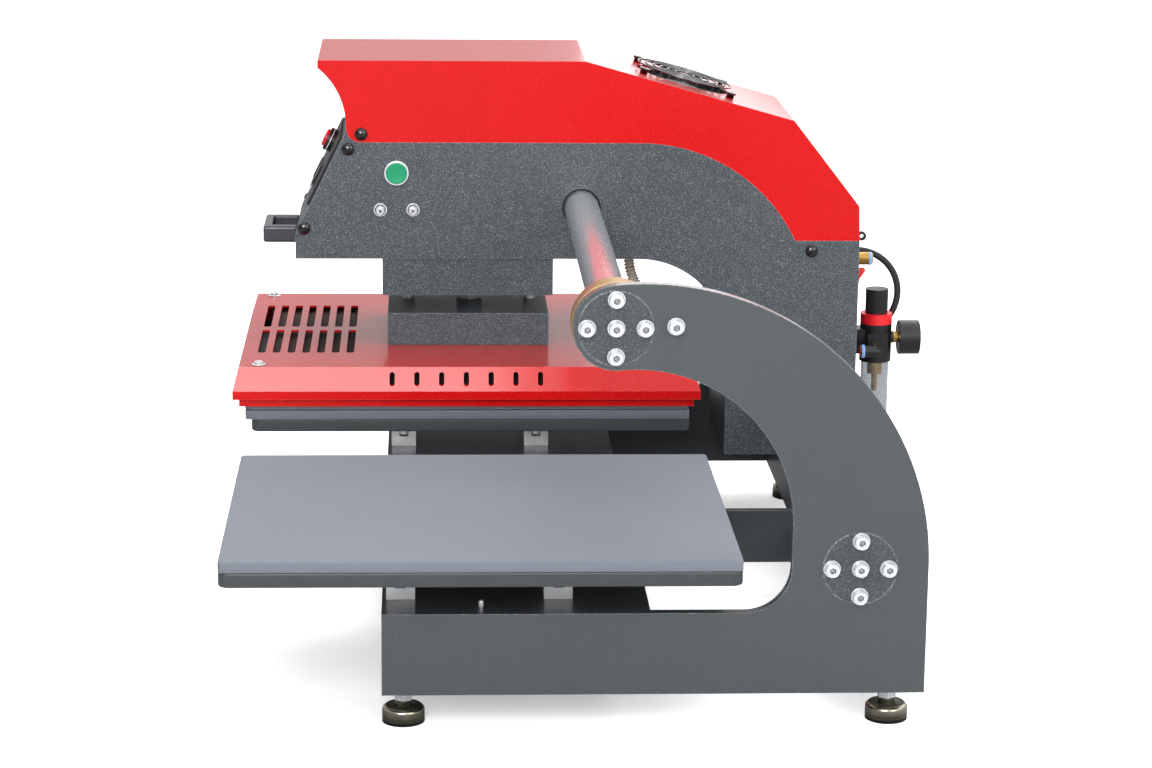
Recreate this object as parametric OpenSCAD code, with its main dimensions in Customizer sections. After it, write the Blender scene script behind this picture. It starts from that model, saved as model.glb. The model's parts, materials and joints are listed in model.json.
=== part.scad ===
// Pneumatic double-station heat press: a press head that shuttles sideways on two shafts
// between two fixed lower platens. Millimetres, +Z up, the operator stands on the -Y side.
// The origin is on the floor, midway between the four levelling feet.

/* [Stations] */
// Distance of each station's centre from the middle of the machine
station_x = 300; // [296:1:304]
// Centre of the right platen and of the piston rod, front to back
press_y = -165; // [-168:1:-162]
// Centre of the heat plate and of the left platen, front to back
heat_y = -170; // [-172:1:-168]
// Lift of the press unit from closed to open
stroke = 55; // [30:1:58]

/* [Platens] */
// Width of a platen and of the heat plate
platen_w = 400; // [380:1:404]
// Depth of a platen and of the heat plate
platen_d = 500; // [480:1:504]
// Radius of the platen corners
platen_corner_r = 10; // [6:1:25]
// Height of the silicone pad's top face above the floor
pad_top = 190; // [186:1:194]
// Thickness of the silicone pad
pad_t = 11.2; // [8:0.1:13]
// Thickness of the steel platen under the pad
platen_t = 15.1; // [10:0.1:16]
// Thickness of the cast heat plate
heat_plate_t = 17.7; // [14:0.1:18]

/* [Frame] */
// Width over the two C-shaped frame plates
frame_w = 900; // [896:2:920]
// Thickness of a frame plate
plate_t = 12; // [10:1:14]
// Underside of the frame above the floor
base_z = 38.7; // [38:0.1:40]
// Top of the front cross-beam and of the foot of each frame plate
base_top = 121.5; // [118:0.5:124]
// Front end of the frame
base_front = -261; // [-280:1:-258]
// Rear end of the frame
base_rear = 271; // [268:1:274]
// Radius of the outer arc of a frame plate
outer_r = 280; // [278:1:282]
// Radius of the guide shafts
shaft_r = 20; // [15:1:21]
// Radius of the discs let into the outer faces of the frame plates
disc_r = 36.25; // [35:0.25:38]

/* [Press head] */
// Width of the head over its side plates
head_w = 200; // [196:2:204]
// Sheet thickness of the head's plates and cover
sheet_t = 3; // [2:0.5:4]
// Underside of the head
belly_z = 344.6; // [343:0.1:346]
// Height of the seam between the side plates and the cover
seam_z = 480.5; // [478:0.5:483]
// Top of the head cover
cover_top = 574.6; // [566:0.2:580]
// Tall rear face of the head
head_rear = 288; // [286:1:292]

/* [Press unit] */
// Width of the heat cover over its flange
cover_w = 430; // [424:2:436]
// Depth of the heat cover over its flange
cover_d = 530; // [526:2:536]
// Top face of the heat cover
cover_z = 240.4; // [236:0.2:244]
// Radius of the two guide rods
guide_r = 7; // [5:1:9]
// Number of cooling slots in each sloping side of the heat cover
side_slots = 7; // [3:1:8]
// Number of vent slots in the top of the heat cover
top_slots = 7; // [3:1:7]

/* [Levelling feet] */
// Distance between feet, left to right
foot_span_x = 824; // [800:2:840]
// Distance between feet, front to back
foot_span_y = 480; // [470:2:484]
// Radius of the foot disc
foot_r = 21; // [18:0.5:24]

/* [Hidden] */
$fn = 64;
gap = 0.05;
seam_gap = 0.02;
rear_seam_gap = 0.3;

plate_out = frame_w / 2;
plate_in = plate_out - plate_t;
half = head_w / 2;
inside = half - sheet_t;

// Side-view points are [y, z].
upper_shaft = [-37, 405];
lower_shaft = [204, 166];
outer_c = [base_rear - outer_r, 168];
arm_end_r = outer_r - norm(outer_c - upper_shaft);
throat_c = [-17.5, 210];
throat_r = norm(throat_c - upper_shaft) - arm_end_r + 0.03;
throat_rear = throat_c.x + throat_r;
throat_fillet_r = 45;
buffer_c = [20, 407];

// Screws that hold the shaft ends
screw_r = 4;
screw_circle_r = 27.75;
washer_t = 1.6;
side_bolt_r = 3.9;

// Top of the piston with the press closed
piston_top = 387;
disc_t = 6;
flange_t = 25;

rear_beam_front = 213;
rear_beam_top = 99;
beam_wall = 4;
rail_w = 28.5;
rail_y = [-242.5, -87.5];
rail_half_l = 103;
platen_z = pad_top - pad_t - platen_t;
tongue_r = 4.95;
pad_corner_r = 5;

// Overhang of the heat plate and of the left pad past the platen
heat_margin = 3;

// Head outline
knee = [-367, 373];
panel_top = [-307.5, 494];
panel_tilt = atan2(panel_top.y - knee.y, panel_top.x - knee.x);
seam_arc_r = 201.6;
seam_c = [30.9, seam_z - seam_arc_r];
seam_rear_z = 366.5;
belly_arc_r = 105;
belly_c = [30, belly_z - belly_arc_r];
column_front = belly_c.x + belly_arc_r;
column_bottom = 110;
skirt_y = [-267, -69];
skirt_z = 301;
notch_c = [-393.6, 499.2];
notch_r = 85.6;
cover_corner_r = 16.5;
cover_corner = [notch_c.x + notch_r + cover_corner_r, 497];
cover_front = -340;
ridge = [-34, cover_top];
shoulder = [208, 507];
cover_rear = [286.6, 407];
roof_tilt = atan2(shoulder.y - ridge.y, shoulder.x - ridge.x);
start_button = [-250.3, 445.4];
side_bolt = [[-269, 402.3], [-231.4, 402.3]];
dome_screw = [[-290.7, 489.9], [-305.7, 472.5], [-356.8, 380.5], [232.2, 354.3]];

// Distances along the sloping front panel, up from its knee
stop_s = 102.4;
display_s = 62;
key_s = 44;
key_x = [16, -16];
controller_t = 3;

// Press unit
heat_z = pad_top + 0.3;
heat_top = heat_z + heat_plate_t;
flange_z = [195.4, 204.7, 214.4];
flange_step = 7;
cover_inset = [11, 8];
bracket_x = 91;
bracket_y = [-261, -73.5];
bracket_top = 278.5;
bracket_t = 6;
rod_r = 10;
nut_h = 11.5;
guide_dy = 72;
post_x = 60;
post_dy = 70;
piston_r = 40;
cover_screw = [191.5, 236];

// Rear services, positions relative to the head's centre in x
reg_x = 10;
reg_y = 324;
inlet_c = [reg_y, 222];
hose_x = -18;
hose_c = [301.4, 281.4];
hose_r = 51.6;
hose_start = 90;
hose_end = -45;
conduit_r = 6.8;
conduit_bend = [26, 325];
conduit_bend_r = 70;
conduit_turn = 38;
conduit_foot = [0, conduit_bend.x + 2 * conduit_bend_r * (1 - cos(conduit_turn))];
rocker_x = 75;
rocker_c = [283, 318.5];
rocker_pin_r = 1.6;
port_half = 20;
gauge_z = 232;
gauge_y = [351, 376];
fan_y = 86.4;
fan_z = ridge.y + (fan_y - ridge.x) * tan(roof_tilt);
fan_half = 60;
fan_bore_r = 57;
fan_t = 25;

// ---- Placing and simple shapes ----

module block(lo, hi) translate(lo) cube(hi - lo);

// Extrudes a [y, z] side view from x0 to x1
module along_x(x0, x1) translate([x0, 0, 0]) rotate([90, 0, 90]) linear_extrude(height = x1 - x0) children();

// Extrudes an [x, z] front view from y0 to y1
module along_y(y0, y1) translate([0, y1, 0]) rotate([90, 0, 0]) linear_extrude(height = y1 - y0) children();

// Round bars; p is [y, z], [x, z] or [x, y]
module rod_x(x0, x1, p, r) translate([x0, p.x, p.y]) rotate([0, 90, 0]) cylinder(h = x1 - x0, r = r);
module rod_y(y0, y1, p, r) translate([p.x, y1, p.y]) rotate([90, 0, 0]) cylinder(h = y1 - y0, r = r);
module rod_z(z0, z1, p, r) translate([p.x, p.y, z0]) cylinder(h = z1 - z0, r = r);

// Hexagonal prism standing on z0, measured across its flats
module hex_z(z0, z1, p, flats) translate([p.x, p.y, z0]) cylinder(h = z1 - z0, r = flats / sqrt(3), $fn = 6);

module both_sides() {
    children();
    mirror([1, 0, 0]) children();
}

module in_head() translate([-station_x, 0, 0]) children();
module both_cheeks() in_head() both_sides() children();

// Front panel: x across, y up the slope, z out of the panel
module on_panel(s = 0) in_head() translate([0, knee.x, knee.y]) rotate([panel_tilt, 0, 0])
    translate([0, s, 0]) children();

// Fan seat on the sloping roof, z out of the roof
module on_roof() in_head() translate([0, fan_y, fan_z]) rotate([roof_tilt, 0, 0]) children();

module rounded_rect(w, d, r) {
    square([w - 2 * r, d], center = true);
    square([w, d - 2 * r], center = true);
    for (x = [-1, 1], y = [-1, 1]) translate([x * (w / 2 - r), y * (d / 2 - r)]) circle(r = r);
}

// Rounded slot of a given length along y, centred
module slot_2d(length, r) {
    square([2 * r, length - 2 * r], center = true);
    for (y = [-1, 1]) translate([0, y * (length / 2 - r)]) circle(r = r);
}

function arc(c, r, a0, a1, n) =
    [for (i = [0 : n]) let (a = a0 + (a1 - a0) * i / n) c + r * [cos(a), sin(a)]];
function unit(v) = v / norm(v);
function left_of(v) = [-v.y, v.x];
function turn_at(path, i) =
    let (last = len(path) - 1,
         before = left_of(unit(path[max(i, 1)] - path[max(i, 1) - 1])),
         after = left_of(unit(path[min(i, last - 1) + 1] - path[min(i, last - 1)])))
    before + after;
function offset_path(path, t) =
    [for (i = [0 : len(path) - 1]) let (m = turn_at(path, i)) path[i] + m * (2 * t / (m * m))];
function reversed(list) = [for (i = [len(list) - 1 : -1 : 0]) list[i]];

// Folded sheet whose outer face follows path, with its thickness to the left
module sheet(path, t) polygon(concat(path, reversed(offset_path(path, t))));

// ---- Frame ----

outer_tangent = outer_c + outer_r * unit(upper_shaft - outer_c);
throat_tangent = upper_shaft + arm_end_r * unit(throat_c - upper_shaft);

module frame_outline() {
    translate([base_front, base_z]) square([base_rear - base_front, outer_c.y - base_z]);
    intersection() {
        translate(outer_c) circle(r = outer_r);
        polygon([
            outer_tangent + [3, 20], outer_tangent + [3, -30],
            throat_tangent + [-1.5, 8], throat_tangent + [-0.5, -14],
            [throat_c.x, outer_c.y], [base_rear + 1, outer_c.y], [base_rear + 1, outer_tangent.y + 20]
        ]);
    }
    translate(upper_shaft) circle(r = arm_end_r);
}

module throat_outline() {
    fillet_c = [throat_rear - throat_fillet_r, base_top + throat_fillet_r];
    intersection() {
        translate(throat_c) circle(r = throat_r);
        translate([base_front, throat_c.y]) square([600, 300]);
    }
    translate([base_front - 1, fillet_c.y]) square([throat_rear - base_front + 1, throat_c.y - fillet_c.y]);
    translate([base_front - 1, base_top]) square([fillet_c.x - base_front + 1, throat_fillet_r + 1]);
    translate(fillet_c) circle(r = throat_fillet_r);
}

// The four screws round a shaft end, as [y, z]
function shaft_screw_places(c) = [for (a = [0 : 90 : 270]) c + screw_circle_r * [cos(a), sin(a)]];
shaft_centres = [upper_shaft, lower_shaft];

module frame_plate() difference() {
    along_x(plate_in, plate_out) difference() {
        frame_outline();
        throat_outline();
    }
    for (c = shaft_centres) {
        rod_x(plate_out - disc_t, plate_out + 1, c, disc_r + 0.1);
        rod_x(plate_in - 1, plate_out, c, shaft_r + gap);
        for (p = shaft_screw_places(c)) rod_x(plate_in - 1, plate_out, p, screw_r + 0.3);
    }
    rod_x(plate_in - 1, plate_out + 1, buffer_c, screw_r + 0.3);
}

module frame_plate_right() color("#494d51") frame_plate();
module frame_plate_left() color("#494d51") mirror([1, 0, 0]) frame_plate();

module foot_places() for (x = [-1, 1], y = [-1, 1])
    translate([x * foot_span_x / 2, y * foot_span_y / 2, 0]) children();

stud_r = 6;
beam_front_rear = 1;

module front_cross_beam() color("#4d5156") difference() {
    block([-plate_in, base_front, base_z], [plate_in, beam_front_rear, base_top]);
    block([-plate_in - 1, base_front + beam_wall, base_z + beam_wall],
          [plate_in + 1, beam_front_rear - beam_wall, base_top - beam_wall]);
    foot_places() rod_z(base_z - 1, base_z + beam_wall + 1, [0, 0], stud_r + gap);
}

// Rear box beam with the flat tie bar that ties it to the front beam
module rear_cross_beam() color("#4d5156") difference() {
    union() {
        block([-plate_in, rear_beam_front, base_z], [plate_in, base_rear, rear_beam_top]);
        block([-5, beam_front_rear, base_z], [5, rear_beam_front + beam_wall, rear_beam_top]);
    }
    block([-plate_in - 1, rear_beam_front + beam_wall, base_z + beam_wall],
          [plate_in + 1, base_rear - beam_wall, rear_beam_top - beam_wall]);
    foot_places() rod_z(base_z - 1, base_z + beam_wall + 1, [0, 0], stud_r + gap);
}

module guide_shaft(c) difference() {
    rod_x(-plate_out + disc_t, plate_out - disc_t, c, shaft_r);
    both_sides() rod_x(plate_out - disc_t - 26, plate_out, c, screw_r + gap);
}

module upper_guide_shaft() color("#c9ccd0") guide_shaft(upper_shaft);
module lower_guide_shaft() color("#c9ccd0") guide_shaft(lower_shaft);

module shaft_flanges() color("#b59a62") both_sides() for (c = shaft_centres) difference() {
    rod_x(plate_in - flange_t, plate_in, c, arm_end_r + 1);
    rod_x(plate_in - flange_t - 1, plate_in + 1, c, shaft_r + gap);
    for (p = shaft_screw_places(c)) rod_x(plate_in - 20, plate_in + 1, p, screw_r + gap);
}

module shaft_end_discs() color("#4a4e52") both_sides() for (c = shaft_centres) difference() {
    rod_x(plate_out - disc_t, plate_out, c, disc_r);
    for (p = concat([c], shaft_screw_places(c))) rod_x(plate_in, plate_out + 1, p, screw_r + 0.3);
}

module washer_x(x, p, r, bore) difference() {
    rod_x(x, x + washer_t, p, r);
    rod_x(x - 1, x + washer_t + 1, p, bore);
}

module socket_screw_x(x, p, length) difference() {
    union() {
        rod_x(x - length, x + 0.5, p, screw_r);
        rod_x(x, x + 8, p, 6.5);
    }
    translate([x + 4, p.x, p.y]) rotate([0, 90, 0]) cylinder(h = 5, r = 3.5, $fn = 6);
}

module shaft_screws() color("#d2d5d8") both_sides() {
    for (c = shaft_centres) for (p = concat([c], shaft_screw_places(c))) {
        washer_x(plate_out, p, 8.5, screw_r + 0.2);
        socket_screw_x(plate_out + washer_t, p, 25);
    }
    washer_x(plate_out, buffer_c, 8.5, screw_r + 0.2);
    socket_screw_x(plate_out + washer_t, buffer_c, 25);
}

// Rubber end stops for the head's travel
module end_buffers() color("#1d1d1f") both_sides() difference() {
    rod_x(plate_in - 35, plate_in, buffer_c, 11);
    rod_x(plate_in - 13, plate_in + 1, buffer_c, screw_r + gap);
}

// Aluminium channels that carry the lower platens
module platen_rails() color("#dfe2e4") both_sides() for (y = rail_y) difference() {
    block([station_x - rail_half_l, y - rail_w / 2, base_top],
          [station_x + rail_half_l, y + rail_w / 2, platen_z - gap]);
    block([station_x - rail_half_l - 1, y - tongue_r - gap, base_top + 12],
          [station_x + rail_half_l + 1, y + tongue_r + gap, platen_z + 1]);
}

// ---- Levelling feet ----

pad_h = 3;
foot_rim = 4;
foot_hex_top = 22.2;

module foot_pads() color("#1f2123") foot_places() rod_z(0, pad_h, [0, 0], foot_r - foot_rim - gap);

module foot_nuts() color("#c9cdd0") foot_places() difference() {
    hex_z(foot_hex_top + 0.2, base_z, [0, 0], 17);
    rod_z(foot_hex_top - 1, base_z + 1, [0, 0], stud_r + gap);
}

// One levelling foot: domed disc, spanner hexagon and threaded stud turned from one piece
module foot(x, y) translate([x * foot_span_x / 2, y * foot_span_y / 2, 0]) {
    rotate_extrude() difference() {
        union() {
            translate([0, pad_h + gap]) square([foot_r - 3, 13.5]);
            square([foot_r, pad_h + gap + 9]);
            translate([foot_r - foot_rim, pad_h + gap + 9]) circle(r = foot_rim);
        }
        translate([-10, 0]) square([10, 40]);
        translate([0, -1]) square([foot_r - foot_rim, pad_h + gap + 1]);
    }
    rod_z(pad_h + 10, base_z + 26, [0, 0], stud_r);
    hex_z(pad_h + 10, foot_hex_top, [0, 0], 16);
}

module foot_front_right() color("#b9b49f") foot(1, -1);
module foot_front_left() color("#b9b49f") foot(-1, -1);
module foot_rear_right() color("#b9b49f") foot(1, 1);
module foot_rear_left() color("#b9b49f") foot(-1, 1);

// ---- Lower platens ----

module platen_slab(y) translate([station_x, y, platen_z])
    linear_extrude(height = platen_t) rounded_rect(platen_w, platen_d, platen_corner_r);

// Silicone pad, larger than the platen by margin on every side
module pad_slab(y, margin) translate([station_x, y, pad_top - pad_t])
    linear_extrude(height = pad_t) rounded_rect(platen_w + 2 * margin, platen_d + 2 * margin, pad_corner_r);

// Steel platen with the two tongues that run in the rails
module platen(y) {
    platen_slab(y);
    for (t = rail_y) block([station_x - rail_half_l, t - tongue_r, base_top + 13],
                           [station_x + rail_half_l, t + tongue_r, platen_z + 1]);
}

module platen_right() color("#45494d") platen(press_y);
module pad_right() color("#5f6569") pad_slab(press_y, 0);
module platen_left() color("#45494d") mirror([1, 0, 0]) platen(press_y);
module pad_left() color("#5f6569") mirror([1, 0, 0]) pad_slab(heat_y + 1, heat_margin);

// ---- Press head ----

module head_outline() difference() {
    union() {
        polygon([[knee.x, belly_z], knee, panel_top, [cover_corner.x, panel_top.y], [cover_corner.x, seam_z],
                 [seam_c.x, seam_z], [seam_c.x, belly_z]]);
        intersection() {
            translate(seam_c) circle(r = seam_arc_r);
            translate([seam_c.x - 1, belly_c.y]) square([seam_arc_r + 2, seam_arc_r + 100]);
        }
        translate([column_front, column_bottom])
            square([head_rear - column_front, seam_rear_z - column_bottom - rear_seam_gap]);
        translate([belly_c.x, belly_c.y]) square([belly_arc_r + 1, belly_arc_r]);
    }
    translate(belly_c) circle(r = belly_arc_r);
    translate([-400, 0]) square([400 + belly_c.x, belly_z]);
    translate([-400, 0]) square([400 + column_front, belly_c.y]);
    translate(cover_corner) circle(r = cover_corner_r + 0.1);
}

// Right-hand side plate of the head with its inner tabs for the cover
module head_side() difference() {
    union() {
        along_x(inside, half) head_outline();
        block([inside - sheet_t, -300, 466], [inside, -276, 500]);
        block([inside - sheet_t, 220, 342], [inside, 245, 388]);
    }
    for (c = shaft_centres) rod_x(inside - 1, half + 1, c, shaft_r + 2.5);
    rod_x(inside - 1, half + 1, start_button, 11.1);
    for (p = side_bolt) rod_x(inside - 1, half + 1, p, side_bolt_r + gap);
    for (p = dome_screw) rod_x(inside - 10, half + 1, p, 3);
}

module head_side_right() color("#4d5256") in_head() head_side();
module head_side_left() color("#4d5256") in_head() mirror([1, 0, 0]) head_side();

belly_path = concat([[knee.x + sheet_t, belly_z]], arc(belly_c, belly_arc_r, 90, 0, 18),
                    [[column_front, column_bottom], [head_rear - sheet_t, column_bottom]]);

// Box-section shroud round the piston rod and guide rods, open at the bottom
module guide_skirt() difference() {
    block([-inside, skirt_y[0], skirt_z], [inside, skirt_y[1], belly_z + 1]);
    block([-inside + sheet_t, skirt_y[0] + sheet_t, skirt_z - 1],
          [inside - sheet_t, skirt_y[1] - sheet_t, belly_z + 2]);
}

// Folded sheet: underside with its welded shroud, curved throat, column front and column bottom
module head_belly() color("#4d5256") in_head() difference() {
    union() {
        along_x(-inside, inside) sheet(belly_path, sheet_t);
        guide_skirt();
    }
    rod_z(belly_z - 1, belly_z + 10, [0, press_y], 20);
    for (s = [-1, 1]) rod_z(belly_z - 1, belly_z + 10, [0, press_y + s * guide_dy], 13 + gap);
    block([-10, 8, belly_z - 12], [10, 52, belly_z + 10]);
}

module front_panel() color("#4d5256") difference() {
    in_head() along_x(-inside, inside) sheet([panel_top, knee, [knee.x, belly_z]], sheet_t);
    on_panel() block([-61, 36, -10], [61, 83, 5]);
    on_panel(stop_s) rod_z(-10, 5, [0, 0], 11 + gap);
}

// Controller: face plate, raised display frame and the housing behind the panel
module controller() color("#3a3d40") on_panel() difference() {
    union() {
        block([-80, 34, seam_gap], [80, 121, controller_t]);
        block([-34, display_s - 12, seam_gap], [34, display_s + 12, 6]);
        block([-60, 37, -40], [60, 82, 1]);
    }
    block([-30, display_s - 9, 4], [30, display_s + 9, 7]);
    for (x = key_x) rod_z(-4, 8, [x, key_s], 5 + gap);
    rod_z(-1, 5, [0, stop_s], 11 + gap);
}

// The cover's outer face, from its rear edge over the top and down the hollow front
cover_path = concat([[head_rear, seam_rear_z], cover_rear, shoulder, ridge, [cover_front, cover_top]],
                    arc(notch_c, notch_r, 51.3, 0, 14));

module cover_cheek() difference() {
    polygon(concat(cover_path, arc(cover_corner, cover_corner_r, 180, 270, 8),
                   [[seam_c.x, seam_z], [seam_c.x, seam_rear_z]]));
    translate(seam_c) circle(r = seam_arc_r + seam_gap);
}

module head_cover() color("#e01414") difference() {
    in_head() union() {
        both_sides() along_x(inside, half) cover_cheek();
        along_x(-inside - 1, inside + 1) sheet(cover_path, sheet_t);
    }
    on_roof() rod_z(-10, 5, [0, 0], fan_bore_r);
    in_head() rod_x(-half - 1, half + 1, dome_screw[0], 3);
}

module rear_panel() color("#4d5256") in_head() difference() {
    union() {
        block([-inside, head_rear - sheet_t, column_bottom], [inside, head_rear, seam_rear_z - rear_seam_gap]);
        block([rocker_x - 12, head_rear - 11, rocker_c.y - 16.5],
              [rocker_x + 12, head_rear + 2, rocker_c.y + 16.5]);
    }
    block([rocker_x - 9, head_rear - 12, rocker_c.y - 13.6], [rocker_x + 9, head_rear + 5, rocker_c.y + 13.6]);
    rod_x(rocker_x - 11.05, rocker_x + 11.05, rocker_c, rocker_pin_r + gap);
}

// Ball bushes on the two shafts and flanged bushes on the two guide rods
module linear_bearings() color("#9da2a6") {
    for (c = shaft_centres) both_cheeks() difference() {
        rod_x(inside - 40, inside, c, 30);
        rod_x(inside - 41, inside + 1, c, shaft_r + gap);
    }
    in_head() for (s = [-1, 1]) difference() {
        union() {
            rod_z(337, 392, [0, press_y + s * guide_dy], 13);
            rod_z(belly_z + sheet_t, belly_z + sheet_t + 6, [0, press_y + s * guide_dy], 20);
        }
        rod_z(336, 393, [0, press_y + s * guide_dy], guide_r + gap);
    }
}

// Black domed screws of the cover, front panel and rear panel
module cover_screws() color("#141416") both_cheeks() for (p = dome_screw) {
    rod_x(inside - sheet_t - 4, half + 0.5, p, 2.75);
    translate([half, p.x, p.y]) rotate([0, 90, 0]) rotate_extrude() intersection() {
        translate([0, -3.12]) circle(r = 8.12);
        square([8, 6]);
    }
}

module side_bolts() color("#d2d5d8") both_cheeks() for (p = side_bolt) {
    washer_x(half, p, 7.7, 6.1);
    difference() {
        union() {
            rod_x(inside - 8, half + 12.5, p, side_bolt_r);
            translate([half, p.x, p.y]) rotate([0, 90, 0]) cylinder(h = 4.5, r = 5.6, $fn = 6);
        }
        rod_x(half + 10.5, half + 13, p, 1.9);
    }
}

// ---- Controls ----

button_ring_t = 6;

module button_bezels() color("#d5dadd") both_cheeks() difference() {
    union() {
        rod_x(half, half + button_ring_t, start_button, 14);
        rod_x(half - 30, half + 1, start_button, 11);
    }
    rod_x(half + 0.5, half + button_ring_t + 1, start_button, 12.3);
    rod_x(half - 31, half + 1, start_button, 8 + gap);
}

module start_button() {
    rod_x(half + 4, half + button_ring_t + 0.6, start_button, 12.2);
    rod_x(half - 24, half + 5, start_button, 8);
}

module start_button_right() color("#00a878") in_head() start_button();
module start_button_left() color("#00a878") in_head() mirror([1, 0, 0]) start_button();

module stop_button_collar() color("#17181a") on_panel(stop_s) difference() {
    union() {
        rod_z(controller_t, 12, [0, 0], 14);
        rod_z(-20, controller_t + 1, [0, 0], 11);
    }
    rod_z(4, 13, [0, 0], 10.5 + gap);
    rod_z(-12, 5, [0, 0], 5 + gap);
}

module stop_button() color("#d6141c") on_panel(stop_s) {
    rod_z(9.5, 15.5, [0, 0], 10.5);
    rod_z(0, 10, [0, 0], 5);
}

module key_cap(x) on_panel(key_s) rod_z(-2.4, 5, [x, 0], 5);
module key_up() color("#8f9396") key_cap(key_x[0]);
module key_down() color("#8f9396") key_cap(key_x[1]);

module bow_handle() color("#2c2e31") in_head() difference() {
    along_y(-407, knee.x) translate([0, 362]) rounded_rect(80, 20, 4);
    block([-29, -397, 340], [29, knee.x + 1, 380]);
}

// ---- Cooling fan in the roof ----

module fan_frame() color("#232427") on_roof() difference() {
    union() {
        difference() {
            block([-fan_half, -fan_half, -fan_t - sheet_t], [fan_half, fan_half, -sheet_t - seam_gap]);
            rod_z(-fan_t - sheet_t - 1, 0, [0, 0], fan_bore_r);
        }
        for (a = [0 : 90 : 270]) rotate([0, 0, a + 20])
            block([15, -3, -fan_t - sheet_t], [fan_bore_r + 1, 3, -fan_t - sheet_t + 3]);
        rod_z(-fan_t - sheet_t, -fan_t - sheet_t + 3, [0, 0], 20);
    }
    for (x = [-1, 1], y = [-1, 1]) rod_z(-40, 0, [x * 52.5, y * 52.5], 2.2);
}

module fan_rotor() color("#2b2c30") on_roof() {
    rod_z(-24.5, -6, [0, 0], 21);
    for (a = [0 : 360 / 7 : 359]) rotate([0, 0, a]) translate([36, 0, -15]) rotate([38, 0, 0])
        cube([34, 26, 1.6], center = true);
}

module ring(r, z, wire) translate([0, 0, z]) rotate_extrude() translate([r, 0]) circle(r = wire, $fn = 24);

module fan_guard() color("#cfd3d6") on_roof() {
    for (r = [12 : 9 : 57]) ring(r, 7, 1);
    for (a = [45 : 90 : 315]) rotate([0, 0, a]) {
        translate([0, 0, 5.4]) rotate([0, 90, 0]) cylinder(h = 72, r = 1.1, $fn = 24);
        difference() {
            union() {
                rod_z(0, 5.4, [74.25, 0], 4.5);
                rod_z(4.2, 6.6, [74.25, 0], 6);
            }
            rod_z(0, 8, [74.25, 0], 2.2);
        }
    }
}

// ---- Rear services ----

module rocker_switch() color("#d0151c") in_head() {
    along_x(rocker_x - 8.5, rocker_x + 8.5) polygon([
        rocker_c + [-2, -10], rocker_c + [7, -10], rocker_c + [9, 0], rocker_c + [16, 10], rocker_c + [-2, 10]
    ]);
    rod_x(rocker_x - 11, rocker_x + 11, rocker_c, rocker_pin_r);
}

module air_cylinder() color("#b4b8bb") in_head() difference() {
    union() {
        block([-45, press_y - 45, belly_z + sheet_t], [45, press_y + 45, 364]);
        rod_z(363, 471, [0, press_y], 44);
        block([-45, press_y - 45, 470], [45, press_y + 45, 486]);
    }
    rod_z(364, piston_top + stroke + 12, [0, press_y], piston_r + gap);
    rod_z(belly_z, 365, [0, press_y], rod_r + gap);
}

reg_c = [reg_x, reg_y];

module regulator_body() color("#1b1c1e") in_head() difference() {
    union() {
        rod_z(204, 262, reg_c, 19);
        block([reg_x - port_half, reg_y - 12, 212], [reg_x + port_half, reg_y + 12, 240]);
        rod_y(reg_y, reg_y + 21, [reg_x, gauge_z], 7);
        block([reg_x - 12, head_rear, 214], [reg_x + 12, reg_y, 244]);
    }
    rod_z(240, 263, reg_c, 5 + gap);
}

module regulator_knob() color("#1b1c1e") in_head() difference() {
    union() {
        rod_z(262.1, 291.6, reg_c, 13.5);
        rod_z(244, 263, reg_c, 5);
    }
    for (a = [0 : 15 : 359]) translate([reg_x, reg_y, 266]) rotate([0, 0, a])
        translate([14, 0, 0]) cylinder(h = 20, r = 1);
}

module regulator_bowl() color([0.85, 0.88, 0.9, 0.4]) in_head() difference() {
    union() {
        rod_z(140, 204, reg_c, 16.5);
        rod_z(130, 141, reg_c, 6);
    }
    rod_z(144, 205, reg_c, 14.5);
}

module gauge_body() color("#151618") in_head() difference() {
    rod_y(gauge_y[0], gauge_y[1], [reg_x, gauge_z], 20.5);
    rod_y(gauge_y[1] - 3, gauge_y[1] + 1, [reg_x, gauge_z], 18.5);
}

// Needle at rest on zero, at the lower left of the dial as it is read
module gauge_needle() color("#101010") in_head()
    translate([reg_x, gauge_y[1] - 2.8, gauge_z]) rotate([0, 45, 0]) {
    rod_y(0, 1.6, [0, 0], 2.5);
    block([-0.6, 0.4, -14], [0.6, 1.2, 4]);
}

module air_fittings() color("#b8914a") in_head() difference() {
    union() {
        // gauge stem, filter element and the inlet's threaded stub
        rod_y(reg_y + 21, gauge_y[0], [reg_x, gauge_z], 4.5);
        rod_z(188, 204, reg_c, 9);
        rod_z(166, 189, reg_c, 3.5);
        rod_x(reg_x + port_half, reg_x + 25, inlet_c, 6.5);
        rod_x(reg_x + 24, reg_x + 30, inlet_c, 4);
        // outlet to the hose and its bulkhead union on the rear panel
        rod_x(hose_x - 2, reg_x - port_half, [reg_y + 2, 232], 6.5);
        translate([hose_x, hose_c.x + hose_r * cos(hose_end), hose_c.y + hose_r * sin(hose_end)])
            rotate([90 - hose_end, 0, 0]) cylinder(h = 17, r = 6.5);
        rod_y(head_rear, hose_c.x + hose_r * cos(hose_start), [hose_x, hose_c.y + hose_r * sin(hose_start)], 7);
        // second outlet union on the rear panel
        rod_y(head_rear, head_rear + 18, [50, 336], 7.5);
        rod_y(head_rear + 18, head_rear + 23, [50, 336], 6.5);
    }
    rod_y(head_rear + 12, head_rear + 24, [50, 336], 4);
}

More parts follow.
